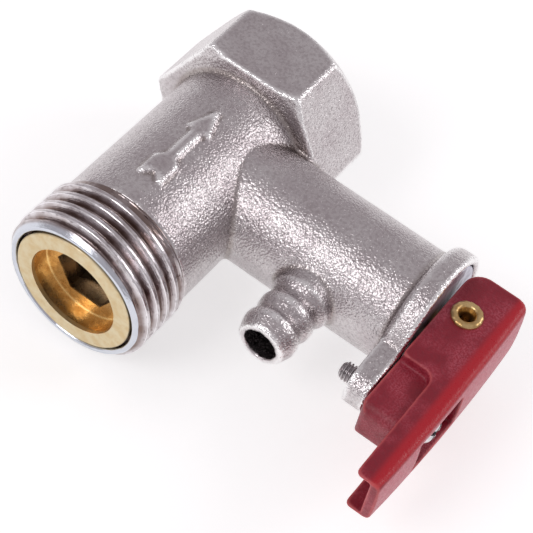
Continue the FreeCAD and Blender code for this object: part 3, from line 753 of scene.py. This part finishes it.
def lever_moulding():
    """The lever with moulded edges and faces that are never quite flat."""
    lumps = ((0.02, 5.0, 5), (0.008, 1.5, 6))  # height, size and seed
    band_from_x = LEVER_HIGH.x - 2.6
    band_full_x = LEVER_HIGH.x - 1.6
    outer_face_x = LEVER_HIGH.x - 1.2
    mesh = even_skin(copy_of("lever"), LEVER_VOXEL)
    smooth(mesh, 5)
    bend = bend_of(mesh)
    points = read_points(mesh)
    normals = read_normals(mesh)
    band = ease(0.97, 0.85, normals[:, 0]) * ease(band_from_x, band_full_x, points[:, 0])
    band *= ease(LEVER_BAND_Z, LEVER_BAND_Z + 0.3, np.abs(points[:, 2]))
    height = sum(tall * noise(points, size, seed) for tall, size, seed in lumps)
    points = points + normals * height[:, None]
    keep_in_box(points)
    write_points(mesh, points)
    # The ridge mask carries a painted highlight on the lever's edges, partly wear.
    add_attribute(mesh, "wear_and_highlight", ease(0.003, 0.012, bend))
    # The band mask carries the brighter red painted for how light falls on the edge's fillet.
    add_attribute(mesh, "band", Neighbours(mesh).mean(band))
    # The outer mask carries a painted reflection on the outer face.
    add_attribute(mesh, "outer", ease(0.9, 0.97, normals[:, 0]) * (points[:, 0] > outer_face_x))
    place("lever_moulding", mesh, "test_lever", "red_plastic", "lever", [RED_MOULDING])


def rolled_rivet():
    """Hollow rivet with a rolled, slightly crimped rim at each end."""
    around = 96
    crimps = 14
    crimp_depth = 0.035
    bore = 0.8
    wall = 1.3
    flare = 0.25
    rim_height = 0.45
    roll_steps = 12
    roll_angle = math.pi * 1.15
    top = RIVET_HIGH.z
    lip = RIVET_HIGH.x - PIVOT.x
    roll = (lip - bore - flare) / 2
    centre = bore + flare + roll
    angles = np.linspace(0, 2 * math.pi, around, endpoint=False)
    half = [(bore, 0.0), (bore, top - 1.2), (bore + 0.05, top - 0.7)]
    for k in range(roll_steps + 1):
        turn = math.pi - k * roll_angle / roll_steps
        half.append((centre + roll * math.cos(turn), top - rim_height + rim_height * math.sin(turn)))
    half += [(lip - 0.25, top - 0.52), (wall, top - 0.5), (wall, 0.0)]
    profile = half + [(r, -z) for r, z in reversed(half[1:-1])]
    rows = []
    for r, z in profile:
        rim = crimp_depth * ease(top - 0.7, top - 0.1, abs(z)) * ease(bore, lip, r)
        radius = r + rim * np.cos(crimps * angles + 0.4 * np.sin(3 * angles))
        ring = np.stack([PIVOT.x + radius * np.cos(angles), BRANCH_Y + radius * np.sin(angles),
                         np.full(around, z)], axis=1)
        rows.append(ring)
    points = np.concatenate(rows)
    keep_in_box(points)
    mesh = new_mesh("rivet", points, grid_faces(len(profile), around, True))
    place("rolled_rivet", mesh, "test_lever", "bare_brass", "lever_rivet", [RIVET_BRASS], sharp_angle=50)


def lock_screw():
    """Pan-head screw whose shank has a real helical thread."""
    around = 64
    pitch = 0.45
    crest = 1.25
    depth = 0.30
    tip_bevel = 0.45
    length = 6.4
    count = 150
    head = copy_of("lock_screw", (SCREW_LOW.x + length, SCREW_Y, 0), (1, 0, 0))
    place("lock_screw_head", head, "screw", "zinc_steel", "lock_screw", [SCREW_STEEL], sharp_angle=35)
    angles = np.linspace(0, 2 * math.pi, around, endpoint=False)
    rows = []
    for i in range(count + 1):
        along = length * i / count
        lead = min(crest, crest - tip_bevel + along * 0.9)
        fade = float(ease(length - 0.2, length - 0.8, along))
        turns = along / pitch - angles / (2 * math.pi)
        radius = np.minimum(crest - depth * thread_shape(turns) * fade, lead)
        rows.append(np.stack([np.full(around, SCREW_LOW.x + along), SCREW_Y + radius * np.cos(angles),
                              radius * np.sin(angles)], axis=1))
    faces = [f[::-1] for f in grid_faces(len(rows), around, False)]
    faces.append(tuple(range(around))[::-1])
    last = (len(rows) - 1) * around
    faces.append(tuple(range(last, last + around)))
    mesh = new_mesh("shank", np.concatenate(rows), faces)
    place("lock_screw_shank", mesh, "screw", "zinc_steel", "lock_screw", [SCREW_THREAD_SHADED_STEEL],
          sharp_angle=60)


# ---------------------------------------------------------------- pieces that keep their CAD shape

FINISHES = {
    "inlet_retainer": RETAINER_BRASS,
    "retainer_gasket": RUBBER,
    "check_seal": RUBBER,
    "check_seal_washer": SPRING_STEEL,
    "check_poppet": ACETAL,
    "check_spring": SPRING_STEEL,
    "check_guide": ACETAL,
    "relief_seal": RUBBER,
    "relief_seal_washer": BRANCH_BRASS,
    "seal_holder": BRANCH_BRASS,
    "relief_stem": BRANCH_BRASS,
    "spring_washer": SPRING_STEEL,
    "relief_spring": SPRING_STEEL,
    "adjusting_bush": BRANCH_BRASS,
    "stem_o_ring": RUBBER,
    "bonnet_disc": DISC_STEEL,
}


def finish_cad_pieces():
    """Gives each piece that keeps its CAD shape its own material."""
    for node, material in FINISHES.items():
        for material_slot in frame["nodes"][node].material_slots:
            material_slot.material = material


# ---------------------------------------------------------------- stage, light and camera

# The camera stands at its azimuth, elevation and distance from the tee's middle, and looks along the
# direction given by the look angles, rolled about it.
TEE = Vector((0, BRANCH_Y, 0))
CAMERA_AZIMUTH = 28.75
CAMERA_ELEVATION = 50.1
CAMERA_DISTANCE = 236.0
LOOK_AZIMUTH = 24.67
LOOK_ELEVATION = 52.65
CAMERA_ROLL = 14.35
LENS = 125.31

# The floor lies just under the hexagon, so that it doesn't share a plane with it.
FLOOR_GAP = 0.1
FLOOR_HALF = 3.0
FLOOR_GLOW = 0.54


def direction(azimuth, elevation):
    """Unit vector from the object: azimuth 0 is towards -Y and 90 towards +X."""
    a = math.radians(azimuth)
    e = math.radians(elevation)
    return Vector((math.sin(a) * math.cos(e), -math.cos(a) * math.cos(e), math.sin(e)))


def camera():
    """The camera at the angle and distance that the object is shown from."""
    data = bpy.data.cameras.new("camera")
    data.lens = LENS
    data.sensor_width = 36.0
    data.clip_start = 0.01
    data.clip_end = 20.0
    holder = bpy.data.objects.new("camera", data)
    bpy.context.scene.collection.objects.link(holder)
    holder.location = (TEE + CAMERA_DISTANCE * direction(CAMERA_AZIMUTH, CAMERA_ELEVATION)) * MM
    back = direction(LOOK_AZIMUTH, LOOK_ELEVATION)
    level = (-back).to_track_quat("-Z", "Y").to_matrix().to_4x4()
    roll = Matrix.Rotation(math.radians(CAMERA_ROLL), 4, back)
    holder.rotation_mode = "QUATERNION"
    holder.rotation_quaternion = (roll @ level).to_quaternion()
    bpy.context.scene.camera = holder


def softbox(name, azimuth, elevation, distance, width, height, power, colour):
    """A rectangular light that faces the tee; distance and size are in metres."""
    data = bpy.data.lights.new(name, "AREA")
    data.shape = "RECTANGLE"
    data.size = width
    data.size_y = height
    data.energy = power
    data.color = colour
    light = bpy.data.objects.new(name, data)
    bpy.context.scene.collection.objects.link(light)
    towards = direction(azimuth, elevation)
    light.location = TEE * MM + towards * distance
    light.rotation_mode = "QUATERNION"
    light.rotation_quaternion = (-towards).to_track_quat("-Z", "Y")


def floor():
    """A white floor that glows a little, so that it stays white behind soft shadows."""
    z = (BODY_LOW.z - FLOOR_GAP) * MM
    corners = [(x * FLOOR_HALF, y * FLOOR_HALF, z) for x, y in ((-1, -1), (1, -1), (1, 1), (-1, 1))]
    mesh = new_mesh("floor", corners, [(0, 1, 2, 3)])
    shader = Shader("floor_white")
    shader.set(Base_Color=(0.70, 0.70, 0.70), Roughness=0.9)
    shader.set(Emission_Color=(1.0, 1.0, 1.0), Emission_Strength=FLOOR_GLOW)
    mesh.materials.append(shader.material)
    plane = bpy.data.objects.new("floor", mesh)
    bpy.context.scene.collection.objects.link(plane)


def surroundings():
    """An even, faintly rosy light from all round, shown without a film curve."""
    world = bpy.data.worlds.new("studio")
    world.use_nodes = True
    background = world.node_tree.nodes["Background"]
    background.inputs["Color"].default_value = (1.0, 0.94, 0.975, 1.0)
    background.inputs["Strength"].default_value = 0.5
    scene = bpy.context.scene
    scene.world = world
    scene.view_settings.view_transform = "Standard"


casting()
inlet_thread()
lever_moulding()
rolled_rivet()
lock_screw()
finish_cad_pieces()
floor()
surroundings()
softbox("front_softbox", -22, 44, 0.6, 0.26, 0.24, 0.85, (1.0, 0.99, 0.995))
softbox("side_softbox", 132, 33, 0.6, 0.26, 0.26, 0.65, (1.0, 0.98, 0.99))
camera()
